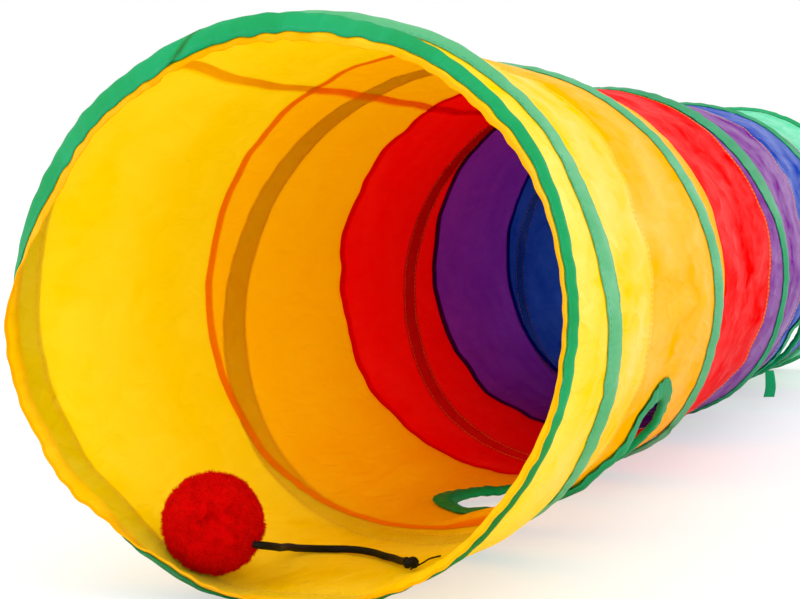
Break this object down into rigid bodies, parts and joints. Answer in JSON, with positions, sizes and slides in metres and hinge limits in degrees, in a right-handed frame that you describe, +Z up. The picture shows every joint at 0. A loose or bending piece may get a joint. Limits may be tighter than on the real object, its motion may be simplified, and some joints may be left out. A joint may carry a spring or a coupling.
{
  "type": "cat tunnel",
  "caption": "Straight pop-up cat tunnel of rainbow taffeta panels with a green tape casing coil, bound peepholes and a red pompom on an elastic cord.",
  "frame": {"origin": "centre of the tunnel's footprint, on the floor it lies on", "axes": "+Y along the tunnel from its front mouth, where the pompom lies, to its far mouth; +Z up"},
  "size_m": [0.2699, 1.2, 0.2628],
  "materials": {
    "yellow_cloth": "thin shiny taffeta",
    "orange_cloth": "thin shiny taffeta",
    "red_cloth": "thin shiny taffeta",
    "purple_cloth": "thin shiny taffeta",
    "blue_cloth": "thin shiny taffeta",
    "green_cloth": "thin shiny taffeta",
    "green_tape": "woven tape",
    "red_yarn": "cut yarn pile",
    "black_elastic": "covered elastic cord"
  },
  "bodies": {
    "root": {"panel_yellow": "yellow_cloth", "panel_orange": "orange_cloth", "panel_red": "red_cloth", "panel_purple": "purple_cloth", "panel_blue": "blue_cloth", "panel_green": "green_cloth", "casing_front": "green_tape", "casing_turn_1": "green_tape", "casing_turn_2": "green_tape", "casing_turn_3": "green_tape", "casing_turn_4": "green_tape", "casing_end": "green_tape", "binding_orange": "green_tape", "binding_blue": "green_tape", "tape_tail": "green_tape", "pompom": "red_yarn", "pompom_cord": "black_elastic", "cord_knot": "black_elastic"}
  },
  "joints": []
}
